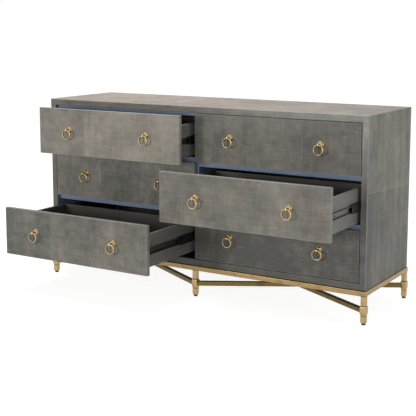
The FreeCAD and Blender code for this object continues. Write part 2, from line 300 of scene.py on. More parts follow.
# Drawer fronts: each sheet has its own tone, which on some fronts also carries painted shade, and the folds
# at the edges are rubbed pale
def frontMaterial(look):
    material, tree, shader = newMaterial("front_wrap")
    spot = objectSpot(tree)
    tone, weave, grain = wrapTone(tree, spot, look)
    colour = wrapColour(tree, spot, sums(tree, "ADD", tone, stored(tree, "sheetShadeAndTone")), look)
    scar = useGroup(tree, scars, Vector=spot, Stretch=look["scar"])
    colour = blendColour(tree, sums(tree, "MULTIPLY", scar, look["scarWear"]), colour, look["light"])
    patchy = sums(tree, "MULTIPLY", stored(tree, "rub"), between(tree, weave, *look["wornPatches"]))
    colour = blendColour(tree, patchy, colour, look["worn"])
    finishWrap(tree, shader, colour, weave, grain, look)
    return material


frontFinish = frontMaterial(wrapLook)

lacquerLook = {
    "colour": (0.166, 0.232, 0.338), "shade": (0.120, 0.170, 0.252), "backDark": (0.020, 0.017, 0.014),
    "cloudScale": 9.0, "darkenFrom": 0.08, "darkenTo": 0.20,
    "roughness": (0.35, 0.5), "brush": (4.0, 60.0, 300.0), "brushRise": 0.00006,
}


# The colour darkens towards the back, from the blue-grey lacquer to a near-black brown
def lacquerColour(tree, spot, look):
    cloud = useGroup(tree, clouds, Vector=spot, Scale=look["cloudScale"])
    insideTone = blendColour(tree, cloud, look["shade"], look["colour"])
    depth = step(tree, "ShaderNodeSeparateXYZ", {0: spot}).outputs["Y"]
    return blendColour(tree, ease(tree, depth, look["darkenFrom"], look["darkenTo"]), insideTone, look["backDark"])


# Blue-grey paint of the rails and the partition
def lacquerMaterial(look):
    material, tree, shader = newMaterial("inside_lacquer")
    spot = objectSpot(tree)
    brush = useGroup(tree, streaks, Vector=spot, Stretch=look["brush"])
    normal = bumpOf(tree, brush, look["brushRise"])
    feed(tree, shader, lacquerColour(tree, spot, look), between(tree, brush, *look["roughness"]), normal)
    return material


lacquer = lacquerMaterial(lacquerLook)

# Distances are from a panel's front edge, its faces or its seam
panelEdges = {
    "front": (0.0045, 0.0015), "corner": (0.0065, 0.002), "behind": (0.0028, 0.0034),
    "outerRubLightAndShade": (0.0048, 0.001), "innerRub": 0.0035, "innerWear": 0.7, "inside": (0.0006, 0.0002),
    "seamStep": 0.001, "seamLine": 0.004, "seamPale": 0.16, "wander": 0.006, "wanderScale": 14.0,
    "scarWear": 0.5, "wornPatches": (0.3, 0.95),
}
sideWrap = {
    "axis": "X", "level": (60.0, 60.0, 40.0), "upright": (18.0, 20.0, 1.8), "weave": (0.14, 0.62),
    "scar": (190.0, 190.0, 11.0),
    "seamAxis": "Z", "seam": 0.528, "seamSlope": -0.06, "seamTones": (-0.16, 0.03),
}
panelWrap = {
    "top_panel": {
        "axis": "Z", "side": 1, "level": (2.2, 130.0, 130.0), "upright": (40.0, 60.0, 60.0),
        "weave": (0.30, 0.10), "scar": (9.0, 190.0, 190.0), "tint": (1.12, 1.005, 0.965),
        # painted light: the front edge grows paler towards the right end
        "edgeTint": (0.74, 0.70, 0.68), "edgeLitEnd": (1.45, 1.50, 1.56), "edgeLitSpan": ("X", -0.25, 0.65),
        "seamAxis": "X", "seam": -0.16, "seamSlope": 0.0, "seamTones": (0.06, -0.05),
    },
    "bottom_panel": {
        "axis": "Z", "side": -1, "level": (2.2, 130.0, 130.0), "upright": (60.0, 60.0, 8.0),
        "weave": (0.20, 0.10), "scar": (9.0, 190.0, 190.0), "tint": (1.0, 1.0, 1.0),
        # painted shadow: a dark line along the lower front edge
        "edgeTint": (0.60, 0.59, 0.56), "shadowLineColour": (0.012, 0.011, 0.009),
        # painted shade: the inside of the bottom panel is darkened from just behind its front edge, where
        # shade falls beneath the bottom drawers
        "insideTone": {"darkenFrom": -0.006, "darkenTo": 0.01}, "seamAxis": None,
    },
    "left_side_panel": {
        **sideWrap, "side": -1, "tint": (0.97, 1.01, 1.0), "edgeTint": (0.78, 0.74, 0.67),
    },
    "right_side_panel": {
        **sideWrap, "side": 1, "tint": (0.96, 1.01, 1.0), "edgeTint": (0.81, 0.84, 0.87),
        # painted light: the front edge grows paler towards the top
        "edgeLitEnd": (1.52, 1.58, 1.68), "edgeLitSpan": ("Z", 0.52, 0.80),
    },
}


# Step of tone and pale line where the two sheets of a panel meet
def seamTone(tree, spot, places, front, panel, edges):
    wander = useGroup(tree, clouds, Vector=spot, Scale=edges["wanderScale"])
    place = sums(tree, "MULTIPLY_ADD", wander, edges["wander"], panel["seam"])
    place = sums(tree, "MULTIPLY_ADD", places["Y"], panel["seamSlope"], place)
    offset = sums(tree, "SUBTRACT", places[panel["seamAxis"]], place)
    shift = ease(tree, offset, -edges["seamStep"], edges["seamStep"], *panel["seamTones"])
    line = ease(tree, sums(tree, "ABSOLUTE", offset), edges["seamLine"], 0.0, 0.0, edges["seamPale"])
    both = sums(tree, "ADD", shift, line)
    if panel["seamAxis"] == "Z":  # the front edge is one whole sheet
        both = sums(tree, "MULTIPLY", both, sums(tree, "SUBTRACT", 1.0, front))
    return both


# Carcass panels: wrapped outside and on the front edge, painted inside
def panelMaterial(name, panel, edges, look):
    material, tree, shader = newMaterial(name + "_wrap")
    spot = objectSpot(tree)
    low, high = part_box(name)
    axis = "XYZ".index(panel["axis"])
    side = panel["side"]
    inner, outer = (low[axis], high[axis]) if side > 0 else (high[axis], low[axis])
    places = step(tree, "ShaderNodeSeparateXYZ", {0: spot}).outputs
    across = places[panel["axis"]]
    settings = {**look, "level": panel["level"], "upright": panel["upright"], "weave": panel["weave"]}
    tone, weave, grain = wrapTone(tree, spot, settings)

    def fromFront(span):
        return ease(tree, places["Y"], *[low.y + distance for distance in span])

    front = fromFront(edges["front"])
    if panel["seamAxis"]:
        tone = sums(tree, "ADD", tone, seamTone(tree, spot, places, front, panel, edges))
    colour = wrapColour(tree, spot, tone, settings)
    scar = useGroup(tree, scars, Vector=spot, Stretch=panel["scar"])
    colour = blendColour(tree, sums(tree, "MULTIPLY", scar, edges["scarWear"]), colour, look["light"])
    edgeTint = panel["edgeTint"]
    if "edgeLitEnd" in panel:  # painted light: the folded front edge is lit paler towards one end
        along, start, finish = panel["edgeLitSpan"]
        edgeTint = blendColour(tree, ease(tree, places[along], start, finish), edgeTint, panel["edgeLitEnd"])
    tint = blendColour(tree, front, panel["tint"], edgeTint)
    colour = blendColour(tree, 1.0, colour, tint, "MULTIPLY")
    # The outer corner of the front edge is rubbed pale, and this pale band is also a painted highlight where
    # the rounded corner catches light
    outerRubLightAndShade = ease(tree, across, *[outer - side * distance for distance in edges["outerRubLightAndShade"]])
    outerRubLightAndShade = sums(tree, "MULTIPLY", outerRubLightAndShade, fromFront(edges["corner"]))
    innerRub = ease(tree, across, inner + side * edges["innerRub"], inner, 0.0, edges["innerWear"])
    rub = sums(tree, "MAXIMUM", outerRubLightAndShade, sums(tree, "MULTIPLY", innerRub, front))
    patchy = sums(tree, "MULTIPLY", rub, between(tree, weave, *edges["wornPatches"]))
    colour = blendColour(tree, patchy, colour, look["worn"])
    if "shadowLineColour" in panel:  # painted shadow: a dark line along the lower front edge, where shade falls above the base
        colour = blendColour(tree, outerRubLightAndShade, colour, panel["shadowLineColour"])
    deep = ease(tree, across, *[inner + side * distance for distance in edges["inside"]])
    inside = sums(tree, "MULTIPLY", deep, fromFront(edges["behind"]))
    insideTone = lacquerColour(tree, spot, {**lacquerLook, **panel.get("insideTone", {})})
    colour = blendColour(tree, inside, colour, insideTone)
    finishWrap(tree, shader, colour, weave, grain, settings)
    return material


brassLook = {
    "base": (0.385, 0.262, 0.120), "pale": (0.500, 0.355, 0.185), "dark": (0.190, 0.128, 0.055),
    "recessAndShade": (0.045, 0.032, 0.018), "roughness": (0.24, 0.40), "brush": (20.0, 260.0, 260.0),
    "paleShares": (0.1, 0.7), "ageScale": 28.0, "aged": (0.62, 1.0), "agedMost": 0.45, "brushRise": 0.00004,
}
pullLook = {
    **brassLook, "base": (0.385, 0.276, 0.130), "pale": (0.475, 0.356, 0.205), "dark": (0.195, 0.128, 0.046),
    "recessAndShade": (0.105, 0.070, 0.026), "roughness": (0.30, 0.44), "brush": (60.0, 260.0, 260.0),
}
# painted shade: a darker copy of the brass for the stretchers, which sit in shade under the carcass
shadedBrassLook = {
    **brassLook, "base": (0.135, 0.093, 0.028), "pale": (0.180, 0.126, 0.042), "dark": (0.072, 0.049, 0.016),
    "roughness": (0.34, 0.50), "brush": (40.0, 40.0, 300.0),
}
# painted shade: a darker copy of the brass for the base rails
shadedRailLook = {
    **brassLook, "base": (0.282, 0.190, 0.085), "pale": (0.362, 0.252, 0.121), "dark": (0.148, 0.098, 0.042),
    "roughness": (0.28, 0.44), "brush": (8.0, 260.0, 260.0),
}


# Brushed, slightly aged brass, dark in the recesses that no cloth reaches, and with painted shade on the
# inner side of the pull rings
def brassMaterial(name, look):
    material, tree, shader = newMaterial(name)
    spot = objectSpot(tree)
    brush = useGroup(tree, streaks, Vector=spot, Stretch=look["brush"])
    age = useGroup(tree, clouds, Vector=spot, Scale=look["ageScale"])
    colour = blendColour(tree, between(tree, brush, *look["paleShares"]), look["base"], look["pale"])
    colour = blendColour(tree, ease(tree, age, *look["aged"], 0.0, look["agedMost"]), colour, look["dark"])
    colour = blendColour(tree, stored(tree, "recessAndShade"), colour, look["recessAndShade"])
    shader.inputs["Metallic"].default_value = 1.0
    normal = bumpOf(tree, brush, look["brushRise"])
    feed(tree, shader, colour, between(tree, brush, *look["roughness"]), normal)
    return material


brass = brassMaterial("aged_brass", brassLook)
pullBrass = brassMaterial("pull_brass", pullLook)
shadedBrass = brassMaterial("shaded_brass", shadedBrassLook)
shadedRailBrass = brassMaterial("shaded_rail_brass", shadedRailLook)

boardGrain = {"shares": (0.65, 0.35), "cloudScale": 5.0, "stops": (0.1, 0.9), "rise": 0.0001}
drawerWoodLook = {"dark": (0.105, 0.101, 0.086), "light": (0.215, 0.210, 0.186), "roughness": (0.42, 0.6)}
# painted shade: the inside faces and floors of the drawers are darker than the outside
shadedInsideLook = {"dark": (0.040, 0.036, 0.029), "light": (0.085, 0.078, 0.065), "roughness": (0.45, 0.62)}
backLook = {"dark": (0.045, 0.039, 0.031), "light": (0.085, 0.076, 0.064), "roughness": (0.5, 0.7)}


# Grey-brown stained boards with straight grain; the darker inside boards of the drawers carry painted shade
def boardMaterial(name, look, stretch):
    material, tree, shader = newMaterial(name)
    spot = objectSpot(tree)
    grain = useGroup(tree, streaks, Vector=spot, Stretch=stretch)
    cloud = useGroup(tree, clouds, Vector=spot, Scale=boardGrain["cloudScale"])
    tone = weighted(tree, zip((grain, cloud), boardGrain["shares"]))
    colour = ramp(tree, tone, list(zip(boardGrain["stops"], (look["dark"], look["light"]))))
    normal = bumpOf(tree, grain, boardGrain["rise"])
    feed(tree, shader, colour, between(tree, grain, *look["roughness"]), normal)
    return material


drawerWood = boardMaterial("drawer_wood", drawerWoodLook, (5.0, 5.0, 180.0))
drawerInsideShaded = boardMaterial("drawer_inside_shaded", shadedInsideLook, (5.0, 5.0, 180.0))
drawerFloor = boardMaterial("drawer_floor", shadedInsideLook, (4.0, 160.0, 40.0))
backBoard = boardMaterial("back_board", backLook, (4.0, 40.0, 140.0))

plainWear = {"scale": 120.0, "rise": 0.00003}
slideLook = {
    "colour": (0.120, 0.115, 0.105), "worn": (0.085, 0.080, 0.072), "metallic": 1.0,
    "roughness": (0.30, 0.46),
}
glideLook = {
    "colour": (0.012, 0.012, 0.012), "worn": (0.02, 0.02, 0.02), "metallic": 0.0, "roughness": (0.45, 0.65),
}
zincLook = {
    "colour": (0.45, 0.44, 0.42), "worn": (0.32, 0.31, 0.30), "metallic": 1.0, "roughness": (0.25, 0.45),
}
blackScrewLook = {
    "colour": (0.045, 0.043, 0.040), "worn": (0.028, 0.027, 0.025), "metallic": 1.0,
    "roughness": (0.35, 0.55),
}


# Plain finishes with a little wear in the gloss
def plainMaterial(name, look):
    material, tree, shader = newMaterial(name)
    cloud = useGroup(tree, clouds, Vector=objectSpot(tree), Scale=plainWear["scale"])
    colour = blendColour(tree, cloud, look["colour"], look["worn"])
    shader.inputs["Metallic"].default_value = look["metallic"]
    normal = bumpOf(tree, cloud, plainWear["rise"])
    feed(tree, shader, colour, between(tree, cloud, *look["roughness"]), normal)
    return material


slideSteel = plainMaterial("slide_steel", slideLook)
glideBlack = plainMaterial("glide_black", glideLook)
screwZinc = plainMaterial("screw_zinc", zincLook)
screwBlack = plainMaterial("screw_black", blackScrewLook)

middleSlideLook = {
    "length": 0.370, "height": 0.036, "block": 0.024, "blockEdge": 0.0005,
    "rivetFrom": 0.036, "rivet": 0.0032, "rivetEdge": 0.0004, "rivetRise": 6.0,
    "colour": (0.010, 0.010, 0.009), "worn": (0.006, 0.006, 0.005), "blockColour": (0.004, 0.004, 0.004),
    "rivetColour": (0.14, 0.135, 0.125), "roughness": (0.40, 0.56), "gloss": 0.12,
}


# Middle slide member: black block at its front end and a bright rivet behind it
def middleSlideMaterial(look):
    material, tree, shader = newMaterial("slide_middle")
    share = step(tree, "ShaderNodeTexCoord").outputs["Generated"]
    places = step(tree, "ShaderNodeSeparateXYZ", {0: share}).outputs
    back = sums(tree, "MULTIPLY", places["Y"], look["length"])
    up = sums(tree, "MULTIPLY", sums(tree, "SUBTRACT", places["Z"], 0.5), look["height"])
    behind = sums(tree, "SUBTRACT", back, look["rivetFrom"])
    away = sums(tree, "SQRT", weighted(tree, ((up, up), (behind, behind))))
    block = ease(tree, back, look["block"] + look["blockEdge"], look["block"] - look["blockEdge"])
    rivet = ease(tree, away, look["rivet"] + look["rivetEdge"], look["rivet"] - look["rivetEdge"])
    cloud = useGroup(tree, clouds, Vector=objectSpot(tree), Scale=plainWear["scale"])
    colour = blendColour(tree, cloud, look["colour"], look["worn"])
    colour = blendColour(tree, block, colour, look["blockColour"])
    colour = blendColour(tree, rivet, colour, look["rivetColour"])
    tree.links.new(rivet, shader.inputs["Metallic"])
    shader.inputs["Specular IOR Level"].default_value = look["gloss"]
    normal = bumpOf(tree, sums(tree, "MULTIPLY_ADD", rivet, look["rivetRise"], cloud), plainWear["rise"])
    feed(tree, shader, colour, between(tree, cloud, *look["roughness"]), normal)
    return material


slideMiddle = middleSlideMaterial(middleSlideLook)
print("materials made")

# Finishes on the carried-over CAD nodes


def coat(name, material):
    for slot in nodes[name].material_slots:
        slot.material = material


for panelName, panelLook in panelWrap.items():
    coat(panelName, panelMaterial(panelName, panelLook, panelEdges, wrapLook))
for name in ("centre_partition", "front_rails"):
    coat(name, lacquer)
coat("back_panel", backBoard)
coat("cabinet_slides", slideSteel)
for tag in drawerTags:
    coat(f"{tag}_drawer_bottom", drawerFloor)
    coat(f"{tag}_drawer_slides", slideSteel)
    coat(f"{tag}_middle_slides", slideMiddle)
print("CAD nodes coated")

# Mesh helpers


# A smooth mesh from a bmesh, with its faces turned outwards
def meshOf(name, bm, *materials):
    mesh = bpy.data.meshes.new(name)
    bmesh.ops.recalc_face_normals(bm, faces=bm.faces)
    bm.to_mesh(mesh)
    bm.free()
    mesh.shade_smooth()
    for material in materials:
        mesh.materials.append(material)
    return mesh


# Shows a mesh as a piece that rides on a body
def putPiece(name, mesh, body, place=None):
    piece = bpy.data.objects.new(name, mesh)
    scene.collection.objects.link(piece)
    if place is not None:
        piece.location = place
    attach(piece, body)
    return piece


# Flat faces stay flat beside their rounded edges
def flatten(piece, angle=40):
    piece.data.set_sharp_from_angle(angle=math.radians(angle))
    shading = piece.modifiers.new("flat faces", "WEIGHTED_NORMAL")
    shading.weight = 100
    shading.keep_sharp = True


# A board with all its edges eased, added to a bmesh
def addBoard(bm, low, high, easing):
    place = Matrix.Translation((Vector(high) + Vector(low)) / 2)
    size = Matrix.Diagonal((*(Vector(high) - Vector(low)), 1))
    before = set(bm.faces)
    made = bmesh.ops.create_cube(bm, size=1.0, matrix=place @ size)
    edges = list({edge for vert in made["verts"] for edge in vert.link_edges})
    bmesh.ops.bevel(bm, geom=edges, offset=easing, segments=3, profile=0.5, affect="EDGES")
    return [face for face in bm.faces if face not in before]


# Points of a square with rounded corners, about its middle
def roundedSquare(half, radius, steps=5):
    points = []
    for corner in range(4):
        middle = math.radians(45 + 90 * corner)
        reach = (half - radius) * math.sqrt(2)
        centre = Vector((math.cos(middle) * reach, math.sin(middle) * reach))
        for turn in range(steps):
            angle = math.radians(90 * corner + 90 * turn / (steps - 1))
            points.append(centre + radius * Vector((math.cos(angle), math.sin(angle))))
    return points


# Skins rings of points, one after another, into a closed form
def addLoft(bm, rings, loop=False):
    made = [[bm.verts.new(point) for point in ring] for ring in rings]
    count = len(made[0])
    pairs = list(zip(made, made[1:])) + ([(made[-1], made[0])] if loop else [])
    for first, second in pairs:
        for index in range(count):
            after = (index + 1) % count
            bm.faces.new((first[index], first[after], second[after], second[index]))
    if not loop:
        bm.faces.new(list(reversed(made[0])))
        bm.faces.new(made[-1])
    return made


# A turned form about Z from its outline of (radius, height)
def addTurned(bm, outline, segments, turn=Matrix.Identity(4)):
    rings = []
    for radius, height in outline:
        ring = []
        for index in range(segments):
            angle = math.tau * index / segments
            ring.append(turn @ Vector((radius * math.cos(angle), radius * math.sin(angle), height)))
        rings.append(ring)
    addLoft(bm, rings)


# Drawer fronts

frontSettings = {
    "easing": 0.0012, "rubWidth": 0.0032, "seam": 0.0005, "seamDepth": 0.0005, "seamRub": 0.0026,
}
# Tone of each front's sheets, from left to right; the dark values of middle_left and bottom_right are
# painted shade from the open drawers above them
sheetShadeAndTones = {
    "top_left": (0.10, 0.25, 0.22),
    "top_right": (-0.14, -0.09, -0.15),
    "middle_left": (-0.12, -0.23, -0.20),
    "middle_right": (-0.03, -0.06, 0.02),
    "bottom_left": (-0.21, -0.11, -0.02),
    "bottom_right": (-0.38, -0.36, -0.34),
}
# How pale the left and the right seam of each front are rubbed
seamWears = {
    "top_left": (0.15, 0.75),
    "top_right": (0.10, 0.85),
    "middle_left": (0.80, 0.85),
    "middle_right": (0.35, 0.60),
    "bottom_left": (0.30, 0.45),
    "bottom_right": (0.10, 0.60),
}


# A front wrapped in sheets side by side, with a fine groove where two of them meet
def makeFront(tag, settings):
    low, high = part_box(f"{tag}_drawer_front")
    bm = bmesh.new()
    sheetShadeAndTone = bm.faces.layers.float.new("sheetShadeAndTone")
    rub = bm.verts.layers.float.new("rub")
    faces = addBoard(bm, low, high, settings["easing"])
    for vert in bm.verts:
        vert[rub] = 1.0
    face = min(faces, key=lambda one: one.calc_center_median().y)
    bmesh.ops.inset_region(bm, faces=[face], thickness=settings["rubWidth"])
    for vert in face.verts:
        vert[rub] = 0.0
    shadeAndTones = sheetShadeAndTones[tag]
    width = (high.x - low.x) / len(shadeAndTones)
    for sheet, wear in enumerate(seamWears[tag], 1):
        seam = low.x + width * sheet
        for offset in (-settings["seamRub"], -settings["seam"], 0.0, settings["seam"], settings["seamRub"]):
            everything = bm.verts[:] + bm.edges[:] + bm.faces[:]
            bmesh.ops.bisect_plane(bm, geom=everything, plane_co=(seam + offset, 0, 0), plane_no=(1, 0, 0))
        for vert in bm.verts:
            away = abs(vert.co.x - seam)
            if away < (settings["seam"] + settings["seamRub"]) / 2:  # the groove and its two lips
                vert[rub] = max(vert[rub], wear)
            if away < settings["seam"] / 2 and vert.co.y < low.y + settings["easing"]:  # the groove
                vert.co.y += settings["seamDepth"]
    for face in bm.faces:
        sheet = int((face.calc_center_median().x - low.x) / width)
        face[sheetShadeAndTone] = shadeAndTones[min(max(sheet, 0), len(shadeAndTones) - 1)]
    front = putPiece(f"{tag}_front", meshOf(f"{tag}_front", bm, frontFinish), f"{tag}_drawer")
    flatten(front)
    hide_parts(f"{tag}_drawer_front")


for tag in drawerTags:
    makeFront(tag, frontSettings)
print("drawer fronts made")

# Drawer boxes

boxSettings = {"wall": 0.015, "easing": 0.0014, "boardTop": 0.016, "sideSeam": {"bottom_left": 0.177}}


def makeBox(tag, settings):
    low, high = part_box(f"{tag}_drawer_box")
    wall = settings["wall"]
    bm = bmesh.new()
    cuts = [low.y, high.y]
    if tag in settings["sideSeam"]:
        cuts.insert(1, low.y + settings["sideSeam"][tag])
    for start, finish in zip(cuts, cuts[1:]):
        addBoard(bm, (low.x, start, low.z), (low.x + wall, finish, high.z), settings["easing"])
        addBoard(bm, (high.x - wall, start, low.z), (high.x, finish, high.z), settings["easing"])
    addBoard(bm, (low.x + wall, low.y, low.z), (high.x - wall, low.y + wall, high.z), settings["easing"])
    backLow = (low.x + wall, high.y - wall, low.z + settings["boardTop"])
    addBoard(bm, backLow, (high.x - wall, high.y, high.z), settings["easing"])
    middle = (low + high) / 2
    reach = (high - low) / 2
    for face in bm.faces:  # painted shade: what faces the inside is darker
        spot = face.calc_center_median()
        inner = all(abs(spot[axis] - middle[axis]) < reach[axis] - wall / 2 for axis in (0, 1))
        face.material_index = int(inner and abs(face.normal.z) < 0.5)
    mesh = meshOf(f"{tag}_box", bm, drawerWood, drawerInsideShaded)
    drawer = putPiece(f"{tag}_box", mesh, f"{tag}_drawer")
    flatten(drawer)
    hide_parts(f"{tag}_drawer_box")


for tag in drawerTags:
    makeBox(tag, boxSettings)
print("drawer boxes made")

# Ring pulls

pullSettings = {
    "rosette": 0.0155, "rosetteThick": 0.003, "dome": 0.0132, "domeRise": 0.0072, "domeLip": 0.0003,
    "neck": 0.0048, "edge": 0.0004, "softEdge": 0.0006,
    "eyeOut": 0.022, "eye": 0.008, "eyeHalf": 0.006, "eyeSteps": 14, "bore": 0.0044, "boreTurns": 32,
    "cheek": (0.008, 0.0176, 0.0192), "neckEnd": 0.0156, "postDark": 0.6,
    "ring": 0.01975, "wire": 0.0031, "turns": 48, "ringTurns": 96, "wireTurns": 24,
    "wireDarkFrom": 0.0007, "wireDarkOver": 0.0012, "wireDark": 0.85,
}


# Outline of the turned post, from the drawer front outwards
def postOutline(look):
    bead = look["rosetteThick"] / 2
    outline = [(look["rosette"] - look["edge"], 0.0)]
    for turn in range(0, 181, 30):
        angle = math.radians(turn - 90)
        outline.append((look["rosette"] - bead + bead * math.cos(angle), bead + bead * math.sin(angle)))
    outline.append((look["dome"] + look["domeLip"], look["rosetteThick"] - look["edge"]))
    for turn in range(0, 76, 15):
        angle = math.radians(turn)
        reach = look["neck"] + (look["dome"] - look["neck"]) * math.cos(angle)
        outline.append((reach, look["rosetteThick"] + look["domeRise"] * math.sin(angle)))
    outline.append((look["neck"], look["rosetteThick"] + look["domeRise"] + look["edge"]))
    neckMeets = math.asin(look["neck"] / look["eye"])
    for index in range(look["eyeSteps"]):
        angle = neckMeets + (math.pi - neckMeets) * index / look["eyeSteps"]
        outline.append((look["eye"] * math.sin(angle), look["eyeOut"] - look["eye"] * math.cos(angle)))
    return outline


# The bore of the eye and the flat cheeks beside it, as a form to cut away
def postCutter(look):
    bm = bmesh.new()
    across = Matrix.Translation((0, -look["eyeOut"], 0)) @ Matrix.Rotation(math.radians(90), 4, "Y")
    reach = look["eye"] * 2
    addTurned(bm, [(look["bore"], -reach), (look["bore"], reach)], look["boreTurns"], across)
    for side in (-1, 1):
        middle = Matrix.Translation((side * (look["eyeHalf"] + look["cheek"][0] / 2), -look["eyeOut"], 0))
        bmesh.ops.create_cube(bm, size=1.0, matrix=middle @ Matrix.Diagonal((*look["cheek"], 1)))
    return meshOf("pull_post_cutter", bm)


def makePostMesh(look):
    bm = bmesh.new()
    addTurned(bm, postOutline(look), look["turns"], Matrix.Rotation(math.radians(90), 4, "X"))
    turned = bpy.data.objects.new("pull_post_turned", meshOf("pull_post", bm))
    tool = bpy.data.objects.new("pull_post_tool", postCutter(look))
    for helper in (turned, tool):
        scene.collection.objects.link(helper)
    cut = turned.modifiers.new("eye", "BOOLEAN")
    cut.object = tool
    cut.operation = "DIFFERENCE"
    cut.solver = "EXACT"
    cut.use_self = True
    bevel = turned.modifiers.new("soft edges", "BEVEL")
    bevel.width = look["softEdge"]
    bevel.segments = 2
    bevel.angle_limit = math.radians(40)
    ready = bpy.data.meshes.new_from_object(turned.evaluated_get(bpy.context.evaluated_depsgraph_get()))
    for helper in (turned, tool):
        bpy.data.objects.remove(helper)
    ready.name = "pull_post_eye"
    ready.shade_smooth()
    ready.set_sharp_from_angle(angle=math.radians(50))
    ready.materials.clear()
    ready.materials.append(pullBrass)
    recessAndShade = ready.attributes.new("recessAndShade", "FLOAT", "POINT")
    domeTop = look["rosetteThick"] + look["domeRise"]
    for vert, dark in zip(ready.vertices, recessAndShade.data):
        inNeck = domeTop < -vert.co.y < look["neckEnd"]
        inBore = math.hypot(vert.co.y + look["eyeOut"], vert.co.z) < look["bore"] + look["edge"]
        dark.value = look["postDark"] if inNeck or inBore else 0.0
    return ready


def makeRingMesh(look):
    bm = bmesh.new()
    recessAndShade = bm.verts.layers.float.new("recessAndShade")
    rings = []
    for turn in range(look["ringTurns"]):
        angle = math.tau * turn / look["ringTurns"]
        outwards = Vector((math.sin(angle), 0, math.cos(angle)))
        middle = Vector((0, 0, -look["ring"])) + outwards * look["ring"]
        ring = []
        for index in range(look["wireTurns"]):
            spin = math.tau * index / look["wireTurns"]
            offset = outwards * math.cos(spin) + Vector((0, 1, 0)) * math.sin(spin)
            ring.append(middle + offset * look["wire"])
        rings.append(ring)
    addLoft(bm, rings, loop=True)
    for vert in bm.verts:  # painted shade: the inner side of the wire is darkened, standing in for the shadow and dark reflection inside the ring
        reach = math.hypot(vert.co.x, vert.co.z + look["ring"])
        dark = (look["ring"] - look["wireDarkFrom"] - reach) / look["wireDarkOver"]
        vert[recessAndShade] = min(max(dark, 0.0), look["wireDark"])
    return meshOf("pull_ring", bm, pullBrass)


postMesh = makePostMesh(pullSettings)
ringMesh = makeRingMesh(pullSettings)
for tag in drawerTags:
    for hand in ("left", "right"):
        hinge = hinges[f"{tag}_{hand}_ring"]
        foot = hinge + Vector((0, pullSettings["eyeOut"], 0))
        post = putPiece(f"{tag}_{hand}_post", postMesh, f"{tag}_drawer", foot)
        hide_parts(f"{tag}_pull_posts")
        ring = putPiece(f"{tag}_{hand}_pull_ring", ringMesh, f"{tag}_{hand}_ring", hinge)
        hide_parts(f"{tag}_{hand}_ring")
print("ring pulls made")

# Metal base

baseSettings = {
    "corner": 0.0032, "cornerShare": 0.6, "tube": 0.022, "legHalf": 0.011, "footRound": 0.006,
    "collarHalf": 0.0135, "collarLow": 0.039, "collarHigh": 0.077, "collarTaper": 0.009,
    "collarBreak": 0.0003, "collarFull": 0.002, "collarEdge": 0.0008, "collarDrop": 0.0025,
    "joint": 0.0024, "jointDepth": 0.0008,
    "stretcher": 0.020, "stretcherZ": 0.058, "stretcherInset": 0.010125,
}


def makeBaseFrame(look):
    low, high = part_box("base_rails")
    half = look["tube"] / 2
    middle = (low + high) / 2
    reach = (high - low) / 2 - Vector((half, half, 0))
    bm = bmesh.new()
    section = roundedSquare(half, look["corner"])
    rings = []
    for sideX, sideY in ((-1, -1), (1, -1), (1, 1), (-1, 1)):
        ring = []
        for out, up in section:
            ring.append(middle + Vector((sideX * (reach.x + out), sideY * (reach.y + out), up)))
        rings.append(ring)
    addLoft(bm, rings, loop=True)
    rails = putPiece("base_frame", meshOf("base_frame", bm, shadedRailBrass), "carcass")
    flatten(rails)
    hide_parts("base_rails")


# Height, half width and darkness up a leg, from the rounded foot past the collar to the rail
def legStations(low, high, look):
    stations = []
    half = look["legHalf"]
    foot = look["footRound"]
    for turn in range(0, 91, 15):
        angle = math.radians(turn)
        stations.append((low + foot * (1 - math.cos(angle)), half - foot + foot * math.sin(angle), 0.0))

    def addJoint(start):
        for share, depth, dark in ((0.0, 0.0, 0.0), (0.2, 1.0, 1.0), (0.8, 1.0, 1.0), (1.0, 0.0, 0.0)):
            stations.append((start + look["joint"] * share, half - look["jointDepth"] * depth, dark))

    addJoint(look["collarLow"] - look["joint"])
    wide = look["collarHalf"]
    taperEnd = look["collarLow"] + look["collarTaper"]
    stations.append((taperEnd, wide - look["collarBreak"], 0.0))
    stations.append((taperEnd + look["collarFull"], wide, 0.0))
    stations.append((look["collarHigh"] - look["collarDrop"], wide, 0.0))
    stations.append((look["collarHigh"] - look["collarEdge"], wide - look["collarEdge"], 0.0))
    addJoint(look["collarHigh"])
    stations.append((high, half, 0.0))
    return stations


def makeLegs(look):
    low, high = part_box("legs")
    middle = (low + high) / 2
    reach = (high - low) / 2 - Vector((look["collarHalf"], look["collarHalf"], 0))
    bm = bmesh.new()
    recessAndShade = bm.verts.layers.float.new("recessAndShade")
    stations = legStations(low.z, high.z, look)
    for sideY in (-1, 1):
        for sideX in (-1, 0, 1):
            centre = Vector((middle.x + sideX * reach.x, middle.y + sideY * reach.y, 0))
            rings = []
            for height, half, dark in stations:
                corner = min(look["corner"], half * look["cornerShare"])
                rings.append([centre + Vector((x, y, height)) for x, y in roundedSquare(half, corner)])
            made = addLoft(bm, rings)
            for ring, (height, half, dark) in zip(made, stations):
                for vert in ring:
                    vert[recessAndShade] = dark
    legs = putPiece("base_legs", meshOf("base_legs", bm, brass), "carcass")
    flatten(legs, 32)
    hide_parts("legs")


